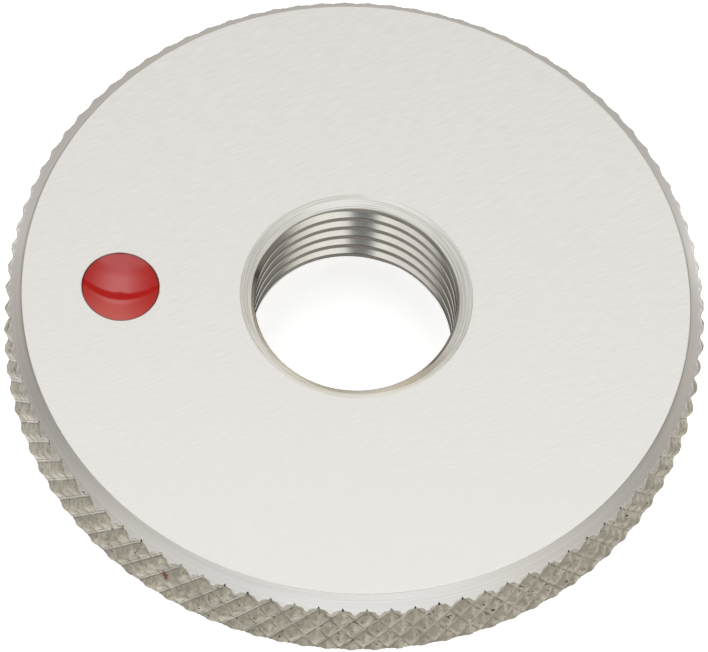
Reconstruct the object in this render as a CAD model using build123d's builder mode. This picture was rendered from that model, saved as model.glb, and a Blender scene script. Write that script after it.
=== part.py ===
from build123d import *
import math
import os

# Solid thread ring gauge for a fine metric thread. Sizes are in millimetres and angles in degrees.
# The bore lies on the Z axis, the underside on Z = 0, and the mark on the -X side.

# Blank
outer_diameter = 38.0
thickness = 6.0
rim_chamfer_width = 0.9
rim_chamfer_height = 1.05

# Diamond knurl round the outside: two sets of V grooves, one of each hand, that leave sharp crests
knurl_teeth = 91
knurl_helix_angle = 30.0
knurl_depth = 0.33
knurl_start_angle = 3.8

# Threaded bore: the minor diameter, and the 60 degree profile between its crest and root flats
bore_diameter = 10.92
thread_pitch = 1.0
thread_crest_flat = 0.3
thread_root_flat = 0.075
thread_flank_angle = 30.0
thread_lead_in = 0.23

# Countersink at both mouths of the bore, from the crests out
mouth_width = 0.82
mouth_angle = 120.0

# Round pocket in the upper face, placed in from the rim, and the enamel in it, whose top has set
# hollow
mark_diameter = 4.2
mark_inset = 6.25
mark_pocket_depth = 0.8
mark_hollow = 0.55
mark_edge_drop = 0.02

outer_radius = outer_diameter / 2
bore_radius = bore_diameter / 2
mouth_radius = bore_radius + mouth_width
mouth_depth = mouth_width / math.tan(math.radians(mouth_angle / 2))
mark_place = Plane((mark_inset - outer_radius, 0, thickness))

# V tool of one knurl groove. The groove runs straight, in a plane beside the rim, and the sharp
# crests that two neighbouring grooves leave at mid height reach the outer diameter.
tooth_width = math.pi * outer_diameter / knurl_teeth
crest_plane_radius = math.sqrt(outer_radius**2 - (tooth_width / 2) ** 2)
groove_half_width = tooth_width * math.cos(math.radians(knurl_helix_angle)) / 2
tool_rise = knurl_depth
tool_half_width = groove_half_width * (knurl_depth + tool_rise) / knurl_depth
groove_plane = Plane(
    origin=(crest_plane_radius, 0, thickness / 2),
    x_dir=(1, 0, 0),
    z_dir=Vector(0, 0, 1).rotate(Axis.X, knurl_helix_angle),
)
with BuildPart() as right_hand_groove:
    with BuildSketch(groove_plane):
        with BuildLine():
            Polyline(
                (-knurl_depth, 0),
                (tool_rise, tool_half_width),
                (tool_rise, -tool_half_width),
                close=True,
            )
        make_face()
    extrude(amount=thickness, both=True)
left_hand_groove = right_hand_groove.part.mirror(Plane.XZ)

# Tool of one turn of the thread: the space between two crests, carried once round the helix. Its
# open side stands inside the bore. The turns follow each other up the bore from the -X side.
thread_mouth = thread_pitch - thread_crest_flat
thread_depth = (thread_mouth - thread_root_flat) / 2 / math.tan(math.radians(thread_flank_angle))
thread_start = -thread_mouth / 2 - thread_lead_in
thread_turns = math.ceil((thickness + thread_mouth / 2 - thread_start) / thread_pitch)
turn_places = [
    Location((0, 0, thread_start + turn * thread_pitch), (0, 0, 180))
    for turn in range(thread_turns)
]
with BuildPart() as thread_turn:
    with BuildLine() as turn_path:
        Helix(pitch=thread_pitch, height=thread_pitch, radius=bore_radius)
    turn_wire = turn_path.wires()[0]
    with BuildSketch(Plane(turn_wire @ 0, x_dir=(1, 0, 0), z_dir=turn_wire % 0)):
        with BuildLine():
            Polyline(
                (-thread_depth / 3, thread_mouth / 2),
                (0, thread_mouth / 2),
                (thread_depth, thread_root_flat / 2),
                (thread_depth, -thread_root_flat / 2),
                (0, -thread_mouth / 2),
                (-thread_depth / 3, -thread_mouth / 2),
                close=True,
            )
        make_face()
    sweep(path=turn_wire, is_frenet=True)

# Ring: the section of the blank is turned about the axis, then threaded, knurled and pocketed.
# The blank is a little larger than the crests, and its chamfers run on to meet it.
with BuildPart() as gauge_ring:
    blank_margin = knurl_depth / 4
    blank_corner = rim_chamfer_height * (1 + blank_margin / rim_chamfer_width)
    with BuildSketch(Plane.XZ):
        with BuildLine():
            Polyline(
                (mouth_radius, 0),
                (outer_radius - rim_chamfer_width, 0),
                (outer_radius + blank_margin, blank_corner),
                (outer_radius + blank_margin, thickness - blank_corner),
                (outer_radius - rim_chamfer_width, thickness),
                (mouth_radius, thickness),
                (bore_radius, thickness - mouth_depth),
                (bore_radius, mouth_depth),
                close=True,
            )
        make_face()
    revolve(axis=Axis.Z)

    with Locations(*turn_places):
        add(thread_turn.part, mode=Mode.SUBTRACT)

    for groove in (right_hand_groove.part, left_hand_groove):
        with PolarLocations(0, knurl_teeth, start_angle=knurl_start_angle):
            add(groove, mode=Mode.SUBTRACT)

    with BuildSketch(mark_place):
        Circle(mark_diameter / 2)
    extrude(amount=-mark_pocket_depth, mode=Mode.SUBTRACT)

# Enamel: a disc that fills the pocket, with a hollow top
with BuildPart() as red_mark:
    with BuildSketch(Plane(mark_place.origin, x_dir=(1, 0, 0), z_dir=(0, -1, 0))):
        with BuildLine():
            enamel_edge = (mark_diameter / 2, -mark_edge_drop)
            Polyline(
                (0, -mark_hollow),
                (0, -mark_pocket_depth),
                (mark_diameter / 2, -mark_pocket_depth),
                enamel_edge,
            )
            TangentArc((0, -mark_hollow), enamel_edge, tangent=(1, 0))
        make_face()
    revolve(axis=Axis(mark_place.origin, (0, 0, 1)))

gauge_ring.part.label = "gauge_ring"
red_mark.part.label = "red_mark"

os.makedirs("parts", exist_ok=True)
export_step(gauge_ring.part, "parts/gauge_ring.step")
export_step(red_mark.part, "parts/red_mark.step")
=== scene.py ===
# %% [markdown]
# # Thread ring gauge
#
# A solid thread ring gauge is a thick steel washer whose bore carries a precise internal thread.
# It is turned, knurled round the outside for the fingers, hardened, and then ground flat on both
# faces. A red enamel dot marks its upper face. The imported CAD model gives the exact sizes, and
# this lesson dresses it: the ground faces, the worn knurl, the thread and the enamel.

import math

import bmesh
import bpy
from mathutils import Matrix, Vector, noise


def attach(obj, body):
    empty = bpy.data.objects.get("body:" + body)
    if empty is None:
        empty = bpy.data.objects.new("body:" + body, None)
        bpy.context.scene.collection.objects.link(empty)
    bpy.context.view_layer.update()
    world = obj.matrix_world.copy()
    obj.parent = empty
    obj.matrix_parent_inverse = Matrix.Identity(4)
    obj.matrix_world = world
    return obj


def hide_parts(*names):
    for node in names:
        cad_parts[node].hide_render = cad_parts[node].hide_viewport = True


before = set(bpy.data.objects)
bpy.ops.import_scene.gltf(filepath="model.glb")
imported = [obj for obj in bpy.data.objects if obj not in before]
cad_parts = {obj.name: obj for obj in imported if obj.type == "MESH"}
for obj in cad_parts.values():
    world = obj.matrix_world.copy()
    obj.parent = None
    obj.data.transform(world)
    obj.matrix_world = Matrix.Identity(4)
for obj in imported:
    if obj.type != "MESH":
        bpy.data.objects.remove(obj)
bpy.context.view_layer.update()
MM = 0.001

# %% [markdown]
# ## Camera
#
# The photograph was taken from far away with a long lens, 61 degrees above the table, and the
# camera was rolled by about six degrees. A camera can be placed by eye, but here its angles, its
# distance and the place of the upper face in the picture were fitted to the ellipses of the faces.

# %% Camera
IMAGE_WIDTH, IMAGE_HEIGHT = 708, 652
FACE_CENTRE_PX = (356.497, 295.605)
PX_PER_MM = 351.9 / 19.0
FOCAL_PX = 10066.0
THICKNESS = 6.0
ELEVATION, ROLL, TURN = (math.radians(degrees) for degrees in (61.25, 5.89, 4.2))

right = Vector((1, 0, 0))
up = Vector((0, math.sin(ELEVATION), math.cos(ELEVATION)))
ahead = Vector((0, math.cos(ELEVATION), -math.sin(ELEVATION)))
image_x = math.cos(ROLL) * right + math.sin(ROLL) * up
image_y = -math.sin(ROLL) * right + math.cos(ROLL) * up
off_x = FACE_CENTRE_PX[0] - IMAGE_WIDTH / 2
off_y = IMAGE_HEIGHT / 2 - FACE_CENTRE_PX[1]
place = -(off_x * image_x + off_y * image_y + FOCAL_PX * ahead) / PX_PER_MM * MM

unturn = Matrix.Rotation(-TURN, 3, "Z")
image_x, image_y, ahead, place = (unturn @ v for v in (image_x, image_y, ahead, place))
place.z += THICKNESS * MM
facing = Matrix((image_x, image_y, -ahead)).transposed()

camera_data = bpy.data.cameras.new("camera")
camera_data.lens = FOCAL_PX / IMAGE_WIDTH * camera_data.sensor_width
camera_data.clip_start, camera_data.clip_end = 0.01, 10
camera = bpy.data.objects.new("camera", camera_data)
camera.matrix_world = Matrix.Translation(place) @ facing.to_4x4()
bpy.context.scene.collection.objects.link(camera)
bpy.context.scene.camera = camera
print("camera at", [round(v, 4) for v in camera.location], "lens", round(camera_data.lens, 1))

# %% [markdown]
# ## The ring, made again
#
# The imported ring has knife-sharp edges and even teeth. On the real one every edge has a tiny
# round, and the two knurling wheels were not alike: the grooves of one hand are hollow and wide,
# those of the other thin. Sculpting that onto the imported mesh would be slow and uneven, so the
# ring is made again with the same sizes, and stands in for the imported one.

# %% Sizes of the blank, in millimetres
OUTER_R, SPARE = 19.0, 0.08
FACE_R, CHAMFER_W, CHAMFER_H = 18.1, 0.9, 1.05
BORE_R, MOUTH_W, MOUTH_H = 5.46, 0.82, 0.4734
MIDDLE = THICKNESS / 2


def blank_radius(z):
    """Outside radius of the blank, which is a little larger than the crests of the teeth."""
    return min(OUTER_R + SPARE, FACE_R + (MIDDLE - abs(z - MIDDLE)) * CHAMFER_W / CHAMFER_H)


print("blank:", blank_radius(THICKNESS), "mm at the face,", blank_radius(MIDDLE), "at mid height")

# %% [markdown]
# ### Grooves of the knurl
#
# A knurling tool presses two crossing sets of V grooves into the rim, and diamonds stand between
# them. Each groove runs straight, in a plane that leans by 30 degrees. Cutting all of them with
# booleans would take minutes and leave a rough net. So a function gives the radius at which the
# walls of the nearest groove stand, and the points of the rim are pushed in to it later.

# %% Grooves of the knurl
TEETH, START = 91, math.radians(3.8)
KNURL_DEPTH, HELIX = 0.33, math.radians(30)
TOOTH = math.tau / TEETH
half_tooth = math.pi * OUTER_R / TEETH
groove_r = math.sqrt(OUTER_R**2 - half_tooth**2) - KNURL_DEPTH
wall_slope = KNURL_DEPTH / (half_tooth * math.cos(HELIX))


def groove_walls(angle, z):
    """Radius of the steel beside the nearest groove of each hand: rising, then falling."""
    walls = []
    for lean in (1, -1):
        climb = lean * math.atan((z - MIDDLE) * math.tan(HELIX) / groove_r)
        lift = wall_slope * lean * (z - MIDDLE) * math.sin(HELIX)
        nearest = round((angle - START - climb) / TOOTH)
        beside = []
        for tooth in (nearest - 1, nearest, nearest + 1):
            off = angle - START - tooth * TOOTH
            tilt = wall_slope * math.cos(HELIX) * math.sin(off)
            sides = [(groove_r - s * lift) / (math.cos(off) - s * tilt) for s in (1, -1)]
            beside.append(max(sides))
        walls.append(min(beside))
    return walls


print("knurl:", 2 * TEETH, "grooves, their floors", round(groove_r, 3), "mm from the axis")

# %% [markdown]
# ### Wear of the teeth
#
# Handling has rubbed the crests round, here more and there less, and the pressed steel is rough.
# Random numbers would do for that, but noise that is read at the point's own place gives the same
# lumps in each run. Near the faces, where the grooves run out, both hands keep their plain V.

# %% Wear of the teeth
HOLLOWNESS, THINNESS, SHALLOWER = 0.6, 0.7, 0.05
PLAIN_FROM, PLAIN_OVER = 2.0, 0.8
RUBBED_R, RUB_MEAN, RUB_SPREAD, RUB_CLOSENESS = 18.93, 0.25, 0.5, 0.9
LUMPS = ((0.018, 2.6), (0.010, 6.1))


def clamped(value):
    return min(1.0, max(0.0, value))


def worn(at, walls):
    """Radius of the rim at a point: hollow or thin grooves, rubbed crests and lumps."""
    hollow, thin = (clamped((OUTER_R - wall) / KNURL_DEPTH) for wall in walls)
    inward = clamped((PLAIN_FROM - abs(at.z - MIDDLE)) / PLAIN_OVER)
    hollow += HOLLOWNESS * inward * (math.sin(hollow * math.pi / 2) - hollow)
    thin = (1 - SHALLOWER * inward) * thin ** (1 + THINNESS * inward)
    r = OUTER_R - KNURL_DEPTH * max(hollow, thin)
    rub_share = RUB_MEAN + RUB_SPREAD * noise.noise(at * RUB_CLOSENESS)
    rubbed = max(0.0, r - RUBBED_R) * rub_share
    rough = sum(height * noise.noise(at * closeness) for height, closeness in LUMPS)
    return r - max(0.0, rubbed) - abs(rough)


crest = Vector((OUTER_R, 0, MIDDLE))
print("a worn crest stands at", round(worn(crest, (OUTER_R, OUTER_R)), 3), "mm")

# %% [markdown]
# ### Net of the rim
#
# The rim starts as a section, a chain of points from one face to the other, with a small round at
# each face. It is spun over the width of one tooth, and that piece is repeated round the axis,
# which is far quicker than spinning all the columns. Rows and columns are spaced so that grooves
# and crests of both hands run through the points, along the diagonals of the net.

# %% Net of the rim
COLUMNS_A_TOOTH, ROWS_UP, MEAN_R = 14, 16, 18.75
ROW = math.tau / (TEETH * COLUMNS_A_TOOTH) * MEAN_R / math.tan(HELIX)
CHAMFER_ROWS = [5.55, 5.78]
FACE_CORNER = [
    (18.1325, 5.962), (18.1152, 5.9786), (18.0956, 5.9905), (18.0739, 5.9976), (18.05, 6.0),
]
ORIGIN, UPWARD, MERGE = (0, 0, 0), (0, 0, 1), 0.002


def chain(shape, points):
    """Draw a chain of points (x, z) in the plane y = 0 and return its vertices and edges."""
    corners = [shape.verts.new((x, 0, z)) for x, z in points]
    return corners + [shape.edges.new(pair) for pair in zip(corners, corners[1:])]


def everything(shape):
    return shape.verts[:] + shape.edges[:] + shape.faces[:]


rows = [MIDDLE + k * ROW for k in range(ROWS_UP)] + CHAMFER_ROWS
upper_half = [(blank_radius(z), z) for z in rows] + FACE_CORNER
rim_section = [(r, THICKNESS - z) for r, z in reversed(upper_half[1:])] + upper_half

ring_shape = bmesh.new()
section = chain(ring_shape, rim_section)
to_start = Matrix.Rotation(START, 3, "Z")
bmesh.ops.rotate(ring_shape, verts=ring_shape.verts, cent=ORIGIN, matrix=to_start)
bmesh.ops.spin(
    ring_shape, geom=section, cent=ORIGIN, axis=UPWARD, angle=TOOTH, steps=COLUMNS_A_TOOTH
)
bmesh.ops.spin(
    ring_shape, geom=everything(ring_shape), cent=ORIGIN, axis=UPWARD,
    angle=math.tau - TOOTH, steps=TEETH - 1, use_duplicate=True,
)
bmesh.ops.remove_doubles(ring_shape, verts=ring_shape.verts, dist=MERGE)
print("rim:", len(ring_shape.faces), "faces in", len(rim_section), "rows of points")

# %% [markdown]
# ### Teeth
#
# Now the points are pushed in to the worn radius. A square of the net that a groove or a crest
# crosses isn't flat any more, and Blender would fold it along either diagonal. So each square is
# split along the diagonal whose middle lies nearer to the wanted surface.

# %% Teeth
TOUCH, KNURL_REACH = 1e-6, 2.45
for vert in ring_shape.verts:
    r, angle = math.hypot(vert.co.x, vert.co.y), math.atan2(vert.co.y, vert.co.x)
    walls = groove_walls(angle, vert.co.z)
    if min(walls) < r - TOUCH:
        r = min(r, worn(vert.co, walls))
        vert.co.x, vert.co.y = r * math.cos(angle), r * math.sin(angle)


def miss(pair, wanted):
    """How far the middle of a diagonal lies from the wanted radius."""
    return abs(((pair[0].co + pair[1].co) / 2).xy.length - wanted)


squares = [
    f for f in ring_shape.faces if abs(f.calc_center_median().z - MIDDLE) < KNURL_REACH
]
for square in squares:
    centre = square.calc_center_median()
    walls = groove_walls(math.atan2(centre.y, centre.x), centre.z)
    wanted = min(blank_radius(centre.z), worn(centre, walls))
    a, b, c, d = square.verts
    nearer = (a, c) if miss((a, c), wanted) < miss((b, d), wanted) else (b, d)
    bmesh.utils.face_split(square, *nearer)
print("teeth:", len(squares), "squares split,", len(ring_shape.faces), "faces")

# %% [markdown]
# ### Thread
#
# The thread is what the gauge is made for: a 60-degree profile that climbs by one millimetre a
# turn. A Screw modifier could make it, but its ends would stay open. Here one column of the
# profile, a few turns tall, is spun once with a rise of one pitch, like a tap going in. The column
# that arrives lies on the one that left, so the two are merged.

# %% Thread
PITCH, CREST_FLAT, ROOT_FLAT, FLANK_ANGLE = 1.0, 0.3, 0.075, math.radians(30)
THREAD_START, TURNS, THREAD_STEPS, FLANK_STEPS = -0.58, range(-1, 8), 180, 5
gap_half, root_half = (PITCH - CREST_FLAT) / 2, ROOT_FLAT / 2
flank_width = gap_half - root_half
thread_depth = flank_width / math.tan(FLANK_ANGLE)
flank_shares = [k / FLANK_STEPS for k in range(FLANK_STEPS + 1)]

tap = []
for turn in TURNS:
    root = THREAD_START + turn * PITCH
    tap += [
        (BORE_R + thread_depth * share, root - gap_half + flank_width * share)
        for share in flank_shares
    ]
    tap += [
        (BORE_R + thread_depth * (1 - share), root + root_half + flank_width * share)
        for share in flank_shares
    ]
    tap += [(BORE_R, root + gap_half + CREST_FLAT * share) for share in (1 / 3, 2 / 3)]

bore_shape = bmesh.new()
bmesh.ops.spin(
    bore_shape, geom=chain(bore_shape, [(-r, z) for r, z in tap]), cent=ORIGIN, axis=UPWARD,
    dvec=(0, 0, PITCH / THREAD_STEPS), angle=math.tau, steps=THREAD_STEPS,
)
bmesh.ops.remove_doubles(bore_shape, verts=bore_shape.verts, dist=MERGE)
print("thread:", round(thread_depth, 3), "mm deep,", len(bore_shape.faces), "faces")

# %% [markdown]
# ### Countersinks
#
# A countersink at both mouths takes off the sharp end of the thread and leads the screw in. With
# a boolean its border would need mending by hand. Here the points that stand inside the cone are
# pushed out onto it, with a small round at the face, and the ends of the thread are cut off flat.

# %% Countersinks
LIP_ROUND, LIP_DEPTH, ON_PLANE = 0.02, 0.06, 1e-5
for vert in bore_shape.verts:
    r = vert.co.xy.length
    deep = min(vert.co.z, THICKNESS - vert.co.z)
    lip_round = LIP_ROUND * max(0.0, 1 - deep / LIP_DEPTH) ** 2
    mouth = BORE_R + (MOUTH_H - deep) * MOUTH_W / MOUTH_H + lip_round
    if mouth > r:
        vert.co.x, vert.co.y = vert.co.x * mouth / r, vert.co.y * mouth / r
for height, outward in ((0.0, -1), (THICKNESS, 1)):
    bmesh.ops.bisect_plane(
        bore_shape, geom=everything(bore_shape), dist=ON_PLANE,
        plane_co=(0, 0, height), plane_no=(0, 0, outward), clear_outer=True,
    )
print("bore:", len(bore_shape.faces), "faces after the ends are cut")

# %% [markdown]
# ### Pocket
#
# The enamel sits in a shallow round pocket, milled into the upper face. A short wall with a
# softened edge is spun about the pocket's own axis, and its floor is filled in with the faces.

# %% Pocket
MARK_X, MARK_R, POCKET_DEPTH, POCKET_STEPS = -12.75, 2.1, 0.8, 96
POCKET_WALL = [
    (MARK_R, THICKNESS - POCKET_DEPTH), (MARK_R, 5.97), (MARK_R + 0.008, 5.99),
    (MARK_R + 0.028, THICKNESS),
]
pocket_shape = bmesh.new()
bmesh.ops.spin(
    pocket_shape, geom=chain(pocket_shape, [(MARK_X + r, z) for r, z in POCKET_WALL]),
    cent=(MARK_X, 0, 0), axis=UPWARD, angle=math.tau, steps=POCKET_STEPS, use_merge=True,
)
print("pocket:", len(pocket_shape.faces), "faces")

# %% [markdown]
# ### Flat faces
#
# Rim, bore and pocket are joined in one mesh. What is left open lies in three flat planes, the two
# ground faces and the pocket's floor, so each plane is filled between its loops of edges. A bridge
# would do for two loops, but the upper face has three.

# %% Flat faces
NEAR_PLANE = 1e-3
for part in (bore_shape, pocket_shape):
    loose = bpy.data.meshes.new("loose")
    part.to_mesh(loose)
    part.free()
    ring_shape.from_mesh(loose)
    bpy.data.meshes.remove(loose)


def in_plane(edge, height):
    return edge.is_boundary and all(abs(v.co.z - height) < NEAR_PLANE for v in edge.verts)


for height in (0.0, THICKNESS - POCKET_DEPTH, THICKNESS):
    loops = [edge for edge in ring_shape.edges if in_plane(edge, height)]
    for edge in loops:
        for vert in edge.verts:
            vert.co.z = height
    bmesh.ops.triangle_fill(ring_shape, use_beauty=True, edges=loops, normal=UPWARD)
    print("plane at", height, "mm filled between", len(loops), "edges")

# %% [markdown]
# ### Shading and placing
#
# Ground and turned steel looks smooth, but its borders are crisp. So all faces are shaded smooth,
# and the steep edges and those round the flat faces are marked sharp. Otherwise the tiny rounds
# would bend the light over the long triangles of the flat faces.

# %% Shading and placing
SHARP_ANGLE, LEVEL = math.radians(21), 0.99999
bmesh.ops.recalc_face_normals(ring_shape, faces=ring_shape.faces)
for edge in ring_shape.edges:
    level = {abs(face.normal.z) > LEVEL for face in edge.link_faces}
    edge.smooth = edge.calc_face_angle(0.0) < SHARP_ANGLE and len(level) == 1
for face in ring_shape.faces:
    face.smooth = True
triangles = sum(len(face.verts) - 2 for face in ring_shape.faces)
open_edges = sum(1 for edge in ring_shape.edges if not edge.is_manifold)
print("ring:", triangles, "triangles,", open_edges, "open edges")

bmesh.ops.scale(ring_shape, vec=(MM, MM, MM), verts=ring_shape.verts)
ring_mesh = bpy.data.meshes.new("ring")
ring_shape.to_mesh(ring_mesh)
ring_shape.free()
ring = bpy.data.objects.new("ring", ring_mesh)
bpy.context.scene.collection.objects.link(ring)
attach(ring, "root")
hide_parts("gauge_ring")

# %% [markdown]
# ## A small kit for node materials
#
# Every finish here is worked out from the object's own coordinates, in millimetres. Nodes can be
# joined by hand in the editor, but these trees are long. Short helpers keep them readable: each
# one adds a node, joins what it is given, and returns a socket.


# %% Node helpers
class Finish:
    """A material or a world, with its shader, its output and a place in millimetres."""

    def __init__(self, name, world=None):
        self.data = world or bpy.data.materials.new(name)
        self.data.use_nodes = True
        self.tree = self.data.node_tree
        self.shader = self.tree.nodes.get("Principled BSDF")
        self.output = self.tree.nodes["World Output" if world else "Material Output"]
        coords = self.node("ShaderNodeTexCoord").outputs["Object"]
        self.at = self.vector("SCALE", coords, scale=1 / MM)
        self.x, self.y, self.z = self.split(self.at)

    def put(self, socket, value):
        if isinstance(value, bpy.types.NodeSocket):
            self.tree.links.new(value, socket)
        elif value is not None:
            socket.default_value = value

    def wear(self, **values):
        """Set inputs of the shader; an underscore stands for a space in the input's name."""
        for name, value in values.items():
            self.put(self.shader.inputs[name.replace("_", " ")], value)

    def node(self, kind, *values, **settings):
        new = self.tree.nodes.new(kind)
        for key, value in settings.items():
            setattr(new, key, value)
        for socket, value in zip(new.inputs, values):
            self.put(socket, value)
        return new

    def math(self, operation, *values, clamp=False):
        new = self.node("ShaderNodeMath", *values, operation=operation, use_clamp=clamp)
        return new.outputs[0]

    def times(self, product, *others):
        for value in others:
            product = self.math("MULTIPLY", product, value)
        return product

    def minus(self, value, other, clamp=False):
        return self.math("SUBTRACT", value, other, clamp=clamp)

    def vector(self, operation, *values, scale=None):
        new = self.node("ShaderNodeVectorMath", *values, operation=operation)
        if scale is not None:
            self.put(new.inputs["Scale"], scale)
        return new.outputs["Value" if operation in ("LENGTH", "DOT_PRODUCT") else "Vector"]

    def combine(self, x, y, z):
        return self.node("ShaderNodeCombineXYZ", x, y, z).outputs[0]

    def split(self, vector):
        return self.node("ShaderNodeSeparateXYZ", vector).outputs

    def step(self, value, low, high, to_low=0.0, to_high=1.0):
        """A soft step from to_low to to_high while the value goes from low to high."""
        new = self.node("ShaderNodeMapRange", value, low, high, to_low, to_high)
        new.interpolation_type = "SMOOTHSTEP"
        return new.outputs[0]

    def blend(self, share, a, b):
        return self.node("ShaderNodeMix", share, None, a, b, data_type="FLOAT").outputs[0]

    def mix(self, share, a, b):
        new = self.node("ShaderNodeMix", data_type="RGBA")
        for index, value in ((0, share), (6, a), (7, b)):
            self.put(new.inputs[index], value)
        return new.outputs[2]

    def coats(self, colour, *coats):
        """Lay coats on a colour, one after the other, each where its share says."""
        for share, coat in coats:
            colour = self.mix(share, colour, coat)
        return colour

    def noise(self, at, scale, detail=2.0, roughness=0.5):
        new = self.node("ShaderNodeTexNoise")
        values = {"Vector": at, "Scale": scale, "Detail": detail, "Roughness": roughness}
        for name, value in values.items():
            self.put(new.inputs[name], value)
        return new.outputs["Factor" if "Factor" in new.outputs else "Fac"]

    def stretch(self, turned, along, across, deep=1.0):
        """The place, turned about Z by some degrees and drawn out, for streaks."""
        new = self.node("ShaderNodeMapping", self.at, vector_type="TEXTURE")
        new.inputs["Rotation"].default_value = (0, 0, math.radians(turned))
        new.inputs["Scale"].default_value = (1 / along, 1 / across, 1 / deep)
        return new.outputs[0]

    def bump(self, height_mm, strength=1.0):
        new = self.node("ShaderNodeBump")
        for name, value in (("Strength", strength), ("Distance", MM), ("Height", height_mm)):
            self.put(new.inputs[name], value)
        return new.outputs[0]


def rgb(red, green, blue):
    return (red, green, blue, 1.0)


# %% [markdown]
# ## Steel: where each finish lies
#
# One block of hardened steel carries five finishes: the ground faces, the turned chamfers, the
# knurl, the countersinks and the lapped thread. Five materials could be given to five sets of
# faces, but their borders would follow the net. Here the distance from the axis and the depth
# below the nearer face tell one material where it is, so each border is a soft line.

# %% Zones of the steel
FACE_EDGE = (0.012, 0.004)
OUTER_ZONE, INNER_ZONE = (17.9, 18.0), (6.5, 6.4)
CHAMFER_EDGE, THREAD_EDGE = (-0.03, -0.012), (0.02, 0.10)

steel = Finish("ground_steel")
from_axis = steel.combine(steel.x, steel.y, 0.0)
radius = steel.vector("LENGTH", from_axis)
above_middle = steel.minus(steel.z, MIDDLE)
off_middle = steel.math("ABSOLUTE", above_middle)
depth = steel.minus(MIDDLE, off_middle)
face = steel.step(depth, *FACE_EDGE)
not_face = steel.minus(1.0, face)

rim = steel.times(steel.step(radius, *OUTER_ZONE), not_face)
above_cone = steel.times(steel.minus(radius, FACE_R), CHAMFER_H / CHAMFER_W)
above_cone = steel.minus(above_cone, depth)
chamfer = steel.times(steel.step(above_cone, *CHAMFER_EDGE), rim)
knurl = steel.minus(rim, chamfer, clamp=True)

bore = steel.times(steel.step(radius, *INNER_ZONE), not_face)
past_crests = steel.minus(radius, BORE_R)
below_cone = steel.math("MULTIPLY_ADD", past_crests, MOUTH_H / MOUTH_W, depth)
below_cone = steel.minus(below_cone, MOUTH_H)
thread = steel.times(steel.step(below_cone, *THREAD_EDGE), bore)
sink = steel.minus(bore, thread, clamp=True)
print("zones of the steel:", len(steel.tree.nodes), "nodes")

# %% [markdown]
# ## Steel: marks of the tools
#
# Each tool leaves its own marks. The grinding wheel leaves fine parallel streaks, the lathe leaves
# rings, and the knurl is mottled. Image textures would need unwrapping; noise that is stretched
# along one line, or that is read along the radius, gives the same marks without a seam.

# %% Marks of the tools
streaks = steel.noise(
    steel.stretch(turned=25.0, along=0.9, across=7.5), scale=1.0, detail=3.0, roughness=0.6
)
grain = steel.noise(steel.at, scale=3.2, detail=4.0, roughness=0.65)
fine_grain = steel.noise(steel.at, scale=11.0, detail=3.0, roughness=0.6)

RINGS_A_MM, SINK_RINGS = 8.0, (2.8, 1.3, 1.3)
heading = steel.split(steel.vector("NORMALIZE", from_axis))
rings_at = steel.combine(steel.times(radius, RINGS_A_MM), heading[0], heading[1])
rings = steel.noise(rings_at, scale=1.0, detail=3.0, roughness=0.7)
sink_rings_at = steel.vector("MULTIPLY", rings_at, SINK_RINGS)
sink_rings = steel.noise(sink_rings_at, scale=1.0, detail=2.0, roughness=0.6)

FULL, SOME = (0.25, 0.75), (0.38, 0.62)
face_tone = steel.mix(
    steel.step(streaks, *FULL), rgb(0.79, 0.777, 0.752), rgb(0.86, 0.848, 0.823)
)
turned_tone = steel.mix(
    steel.step(rings, *FULL), rgb(0.80, 0.785, 0.755), rgb(0.91, 0.895, 0.865)
)
sink_tone = steel.mix(
    steel.step(sink_rings, *SOME), rgb(0.72, 0.70, 0.64), rgb(1.0, 0.985, 0.945)
)
print("with the marks of the tools:", len(steel.tree.nodes), "nodes")

# %% [markdown]
# ## Steel: finding the grooves
#
# Dirt and painted shade lie in the grooves, and one flank of a diamond gets painted shade and one
# painted light. The material has to know where a point stands on its tooth. The angle round the
# axis, counted in teeth, is shifted with the height for each hand. Ping-pong then gives 0 on a
# groove's floor and 0.5 on a crest.

# %% Finding the grooves
azimuth = steel.math("ARCTAN2", steel.y, steel.x)
teeth_round = steel.times(steel.minus(azimuth, START), TEETH / math.tau)
climb = steel.times(above_middle, math.tan(HELIX) / TOOTH / groove_r)
on_rising = steel.minus(teeth_round, climb)
off_rising = steel.math("PINGPONG", on_rising, 0.5)
off_falling = steel.math("PINGPONG", steel.math("ADD", teeth_round, climb), 0.5)
right_of = steel.math("FRACT", steel.math("ADD", on_rising, 0.5))
right_of = steel.math("GREATER_THAN", right_of, 0.5)

own_flank = steel.step(steel.minus(off_falling, off_rising), -0.10, 0.10)
own_flank = steel.times(own_flank, steel.step(off_rising, 0.5, 0.36))
# painted shade on the upper-left flank of each diamond, painted light on the lower-right one
painted_shade_flank = steel.times(right_of, own_flank)
painted_light_flank = steel.minus(own_flank, painted_shade_flank, clamp=True)
print("with the places on a tooth:", len(steel.tree.nodes), "nodes")

# %% [markdown]
# ## Steel: dirt and painted shade in the knurl
#
# Painted shade lies as dark lines beside the floors of the rising grooves, and as thinner ones in
# the falling grooves. Old oil and dust creep up the flanks as drips, thick here and gone there.
# Each line is a band between two soft steps, with less painted shade towards the right, and is
# broken up by noise. Where two grooves meet at the ends of the teeth, small burrs hold black
# specks.

# %% Dirt and painted shade in the knurl
LOW_PART, FALLING_SHARE, PEAK_SHARE = (18.95, 18.85), 0.6, 0.2
# the x range over which the painted shade in the grooves, and the drips, fade towards the right
SHADE_FADE_X = (-3.0, 7.0)

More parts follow.
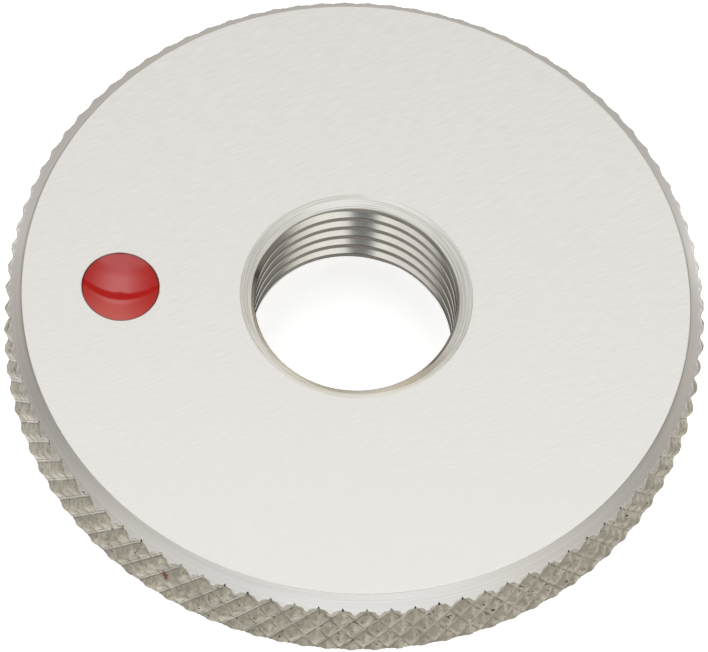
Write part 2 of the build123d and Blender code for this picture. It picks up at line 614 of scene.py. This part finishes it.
low_part = steel.step(radius, *LOW_PART)
# painted shade along the floors of the rising grooves, weaker towards the right
rising_groove_shade = steel.times(
    steel.step(off_rising, 0.115, 0.08),
    steel.step(off_rising, 0.035, 0.065),
    steel.step(steel.x, *SHADE_FADE_X, 1.0, 0.3),
    low_part,
)
# thinner painted shade in the floors of the falling grooves
falling_groove_shade = steel.times(steel.step(off_falling, 0.06, 0.02), low_part, FALLING_SHARE)
drip = steel.times(
    steel.step(off_falling, 0.20, 0.07),
    steel.step(off_rising, 0.40, 0.14),
    right_of,
    steel.step(steel.x, *SHADE_FADE_X, 0.6, 0.1),
)
peak = steel.step(steel.math("MINIMUM", off_rising, off_falling), 0.40, 0.47)
# painted shade in the grooves, together with the drips of dirt and the dark tips
dirt_and_groove_shade = steel.math("MAXIMUM", rising_groove_shade, falling_groove_shade)
for mark in (drip, steel.times(peak, PEAK_SHARE)):
    dirt_and_groove_shade = steel.math("MAXIMUM", dirt_and_groove_shade, mark)
patchy = steel.noise(steel.at, scale=2.1, detail=3.0, roughness=0.6)
dirt_and_groove_shade = steel.times(dirt_and_groove_shade, steel.step(patchy, 0.42, 0.56, 0.25, 0.95))

meeting = steel.step(steel.math("ADD", off_rising, off_falling), 0.12, 0.06)
end_of_groove = steel.times(meeting, steel.step(off_middle, 2.02, 2.10))
some = steel.step(steel.noise(steel.at, scale=0.75, detail=1.0), 0.48, 0.53)
specks = steel.step(steel.noise(steel.at, scale=4.2), 0.665, 0.71)
specks = steel.math("MAXIMUM", specks, steel.times(end_of_groove, some))
print("with the dirt:", len(steel.tree.nodes), "nodes")

# %% [markdown]
# ## Steel: colour of the knurl
#
# The pressed steel of the knurl is duller and yellower than the ground faces. Its colour is built
# up in coats, as a painter would: the mottled steel, a flank with painted shade and one with
# painted light, a painted highlight on the floor of the wide grooves, teeth that are darker as a
# whole, then dirt with painted shade in the grooves, specks and one rust spot.

# %% Colour of the knurl
RUST_AT = (-10.0, -16.05, 3.25)
# painted highlight on the floors of the rising grooves, stronger towards the left
rising_floor_highlight = steel.times(
    steel.step(off_rising, 0.045, 0.025), steel.step(steel.x, -5.0, 3.0, 0.45, 0.08)
)
dull_teeth = steel.noise(steel.at, scale=0.8, detail=1.0)
from_rust = steel.vector("LENGTH", steel.vector("SUBTRACT", steel.at, RUST_AT))
rust = steel.step(steel.math("MULTIPLY_ADD", grain, 0.35, from_rust), 0.50, 0.38)
mottled = steel.mix(
    steel.step(grain, *FULL), rgb(0.29, 0.265, 0.205), rgb(0.65, 0.615, 0.51)
)
knurl_tone = steel.coats(
    mottled,
    # painted shade on one flank of each diamond, painted light on the other
    (steel.times(painted_shade_flank, 0.45), rgb(0.24, 0.215, 0.17)),
    (steel.times(painted_light_flank, 0.5), rgb(0.74, 0.71, 0.65)),
    # painted highlight on the floors of the wide grooves
    (rising_floor_highlight, rgb(0.85, 0.82, 0.755)),
    (steel.step(dull_teeth, 0.35, 0.65, 0.0, 0.35), rgb(0.22, 0.20, 0.165)),
    # dirt, with painted shade in the grooves
    (dirt_and_groove_shade, rgb(0.16, 0.14, 0.11)),
    (specks, rgb(0.03, 0.024, 0.02)),
    (rust, rgb(0.19, 0.06, 0.035)),
)
print("with the knurl's colour:", len(steel.tree.nodes), "nodes")

# %% [markdown]
# ## Steel: the coats together
#
# The lapped thread is bright, with painted shade as dark lines on its crest flats, and its first
# edge at the countersink is dark too. All zones are laid over the colour of the ground face in
# turn.
# Roughness follows the same zones: the lapped thread mirrors most, the countersinks least.

# %% The coats together
CREST_LINE, LIP_LINE, LIP_MIDDLE = (0.045, 0.012), (0.07, 0.035), 0.03
crest_edges = (BORE_R + offset for offset in CREST_LINE)
# painted shade: the crest flats of the thread are painted dark
thread_crest_shade = steel.times(steel.step(radius, *crest_edges), thread)
thread_tone = steel.coats(
    steel.mix(grain, rgb(0.67, 0.645, 0.58), rgb(0.78, 0.755, 0.685)),
    # painted shade on the crest flats
    (thread_crest_shade, rgb(0.17, 0.155, 0.135)),
)
from_lip = steel.math("ABSOLUTE", steel.minus(below_cone, LIP_MIDDLE))
lip = steel.times(
    steel.step(from_lip, *LIP_LINE), steel.step(radius, BORE_R + 0.2, BORE_R + 0.1, 0.0, 0.9)
)
tone = steel.coats(
    face_tone,
    (chamfer, turned_tone),
    (sink, sink_tone),
    (thread, thread_tone),
    (lip, rgb(0.20, 0.185, 0.16)),
    (knurl, knurl_tone),
)

TURNED_ROUGH, SINK_ROUGH, THREAD_ROUGH, SINK_METAL = 0.26, 0.50, 0.16, 0.5
rough = steel.blend(face, TURNED_ROUGH, steel.step(streaks, 0.3, 0.7, 0.34, 0.42))
rough = steel.blend(sink, rough, SINK_ROUGH)
rough = steel.blend(knurl, rough, steel.step(grain, 0.3, 0.7, 0.36, 0.56))
rough = steel.blend(thread, rough, THREAD_ROUGH)

STREAK_DEPTH, GRAIN_DEPTH, FINE_DEPTH, RING_DEPTH = 0.002, 0.16, 0.05, 0.004
turned = steel.math("ADD", chamfer, sink)
height = steel.times(streaks, face, STREAK_DEPTH)
for pattern, zone, deep in (
    (grain, knurl, GRAIN_DEPTH),
    (fine_grain, knurl, FINE_DEPTH),
    (rings, turned, RING_DEPTH),
):
    height = steel.math("MULTIPLY_ADD", steel.times(pattern, zone), deep, height)
steel.wear(Base_Color=tone, Metallic=steel.blend(sink, 1.0, SINK_METAL), Roughness=rough)
steel.wear(Normal=steel.bump(height))
print("steel:", len(steel.tree.nodes), "nodes")

# %% [markdown]
# ## Enamel
#
# Stove enamel is run into a round pocket and sets with a hollow top, so it mirrors the whole
# studio in one small bowl. A coat over a plain red would do, but a high index of refraction gives
# the same gloss from one shader. A narrow ring at the rim of the bowl is darkened as painted
# shade.

# %% Enamel
ENAMEL_EDGE, WAVINESS = (1.98, 2.09), 0.01
enamel = Finish("red_enamel")
from_mark = enamel.vector(
    "LENGTH", enamel.combine(enamel.minus(enamel.x, MARK_X), enamel.y, 0.0)
)
body_tone = enamel.mix(
    enamel.noise(enamel.at, scale=1.1), rgb(0.50, 0.012, 0.009), rgb(0.54, 0.015, 0.011)
)
# painted shade: a narrow ring at the rim of the enamel is painted dark
rim_painted_shade = enamel.step(from_mark, *ENAMEL_EDGE)
enamel.wear(Base_Color=enamel.mix(rim_painted_shade, body_tone, rgb(0.16, 0.012, 0.010)))
enamel.wear(Roughness=0.09, IOR=1.78)
enamel.wear(Normal=enamel.bump(enamel.noise(enamel.at, scale=0.7, detail=0.0), WAVINESS))

red_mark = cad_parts["red_mark"]
red_mark.data.materials.clear()
for piece, finish in ((ring, steel), (red_mark, enamel)):
    piece.data.materials.append(finish.data)
    print(piece.name, "wears", finish.data.name, "with", len(finish.tree.nodes), "nodes")

# %% [markdown]
# ## Studio: paper
#
# The gauge lies on white paper. Lamps strong enough to make the paper pure white would bleach the
# steel, so the paper has a little glow of its own, which only the camera and reflections see, and
# the gauge keeps its shadow. Away from the gauge the paper mirrors as grey, as it falls off into
# the dark of the room.

# %% Paper
FLOOR_SIZE, FLOOR_DROP = 3.0, 0.0001
PAPER_GLOW, FAR_GLOW = 0.60, 0.215


def staged(name, shape, material):
    """Make a piece of the studio, which isn't part of the gauge."""
    mesh = bpy.data.meshes.new(name)
    shape.to_mesh(mesh)
    shape.free()
    thing = bpy.data.objects.new(name, mesh)
    bpy.context.scene.collection.objects.link(thing)
    mesh.materials.append(material)
    return thing


def seen_share(finish):
    """1 for what the camera sees, straight, mirrored or through glass, and 0 for light."""
    path = finish.node("ShaderNodeLightPath")
    share = finish.math("ADD", path.outputs["Is Camera Ray"], path.outputs["Is Glossy Ray"])
    return finish.math("ADD", share, path.outputs["Is Transmission Ray"], clamp=True)


paper = Finish("paper")
mirrored = paper.node("ShaderNodeLightPath").outputs["Is Glossy Ray"]
aside = paper.math(
    "MAXIMUM",
    paper.step(paper.math("ABSOLUTE", paper.x), 22.0, 40.0),
    paper.step(paper.y, 8.0, 20.0),
)
aside = paper.times(aside, mirrored)
paper.wear(Base_Color=paper.mix(aside, rgb(0.80, 0.80, 0.80), rgb(0.30, 0.275, 0.245)))
paper.wear(Roughness=0.9, Emission_Color=rgb(1, 1, 1))
paper_glow = paper.times(seen_share(paper), paper.blend(aside, PAPER_GLOW, FAR_GLOW))
paper.wear(Emission_Strength=paper_glow)

floor_shape = bmesh.new()
bmesh.ops.create_grid(floor_shape, x_segments=1, y_segments=1, size=FLOOR_SIZE)
floor = staged("floor", floor_shape, paper.data)
floor.location.z = -FLOOR_DROP
print("paper:", len(paper.tree.nodes), "nodes")

# %% [markdown]
# ## Studio: light tent
#
# Polished steel shows what stands round it, so the studio is mostly a thing to be mirrored. A few
# cards could be hung round the gauge, but their edges would show as hard lines. A sphere with one
# soft pattern works better: a bright strip overhead, greyer sides, a dark gap behind the strip,
# and the shade of the one who holds the camera. The tent is seen in reflections only.

# %% Light tent
TENT_RADIUS, GAP_GLOW, WATCHER_GLOW = 0.9, 0.04, 0.15
WATCHER, WATCHER_WIDTH = (0.055, -0.480, 0.875), (8.5, 6.0)

tent = Finish("tent")
way_out = tent.vector("NORMALIZE", tent.at)
to_right, to_back, to_top = tent.split(way_out)
across = tent.math("ABSOLUTE", to_right)
in_front = tent.step(to_back, -0.05, -0.22)
behind = tent.step(to_back, 0.0, 0.15)
low = tent.step(to_top, 0.70, 0.60)
overhead = tent.blend(in_front, tent.step(across, 0.78, 0.06), tent.step(across, 0.95, 0.40))

slope = tent.math("DIVIDE", to_top, tent.math("MAXIMUM", to_back, 0.01))
slope = tent.minus(slope, tent.times(across, across, 0.2))
gap = tent.times(tent.step(slope, 1.02, 1.10), tent.step(slope, 1.68, 1.58), behind)
watcher_width = (math.cos(math.radians(angle)) for angle in WATCHER_WIDTH)
watcher = tent.step(tent.vector("DOT_PRODUCT", way_out, WATCHER), *watcher_width)

middle_glow = tent.blend(behind, tent.blend(low, 1.09, 0.87), tent.blend(low, 1.56, 1.06))
side_glow = tent.step(to_back, -0.85, 0.1, 0.80, 0.40)
side_glow = tent.times(side_glow, tent.step(to_top, 0.25, 0.5, 1.0, 0.55))
glow = tent.blend(overhead, side_glow, middle_glow)
glow = tent.blend(gap, glow, GAP_GLOW)
glow = tent.times(glow, tent.step(to_right, -0.35, -0.12, 0.83, 1.0))
glow = tent.blend(watcher, glow, WATCHER_GLOW)
glow_tint = tent.coats(
    tent.mix(overhead, rgb(1, 0.965, 0.91), rgb(1, 1, 1)),
    (tent.times(low, behind), rgb(1, 0.93, 0.82)),
    (watcher, rgb(0.80, 0.90, 1.0)),
)
light = tent.node("ShaderNodeEmission", glow_tint, glow)
tent.put(tent.output.inputs["Surface"], light.outputs[0])

tent_shape = bmesh.new()
bmesh.ops.create_uvsphere(tent_shape, u_segments=64, v_segments=32, radius=TENT_RADIUS)
light_tent = staged("light_tent", tent_shape, tent.data)
light_tent.rotation_euler.z = -TURN
light_tent.visible_camera = False
light_tent.visible_diffuse = False
light_tent.visible_shadow = False
light_tent.visible_transmission = False
print("tent:", len(tent.tree.nodes), "nodes")

# %% [markdown]
# ## Studio: lamp and sky
#
# The tent lights nothing by itself. One soft lamp from behind gives the enamel its colour and the
# gauge its shadow, and an even sky fills the rest. The lamp stays out of the reflections, where
# its square would show in the enamel.

# %% Lamp and sky
LAMP_SIZE, LAMP_POWER, LAMP_AT = 0.5, 1.3, Vector((-0.05, 0.25, 0.55))
SKY_LIGHT, SKY_SEEN = 0.6, 1.0
lamp_data = bpy.data.lights.new("softbox", "AREA")
lamp_data.shape = "RECTANGLE"
lamp_data.size, lamp_data.size_y = LAMP_SIZE, LAMP_SIZE
lamp_data.energy = LAMP_POWER
lamp = bpy.data.objects.new("softbox", lamp_data)
lamp.location = LAMP_AT
lamp.rotation_euler = (-LAMP_AT).to_track_quat("-Z", "Y").to_euler()
lamp.visible_glossy = False
bpy.context.scene.collection.objects.link(lamp)

world = bpy.data.worlds.new("studio")
bpy.context.scene.world = world
sky = Finish("studio", world)
background = sky.tree.nodes["Background"]
sky.put(background.inputs["Color"], rgb(1, 1, 1))
sky.put(background.inputs["Strength"], sky.blend(seen_share(sky), SKY_LIGHT, SKY_SEEN))
bpy.context.scene.view_settings.view_transform = "Standard"
print("lamp:", LAMP_POWER, "watts, sky:", SKY_LIGHT)
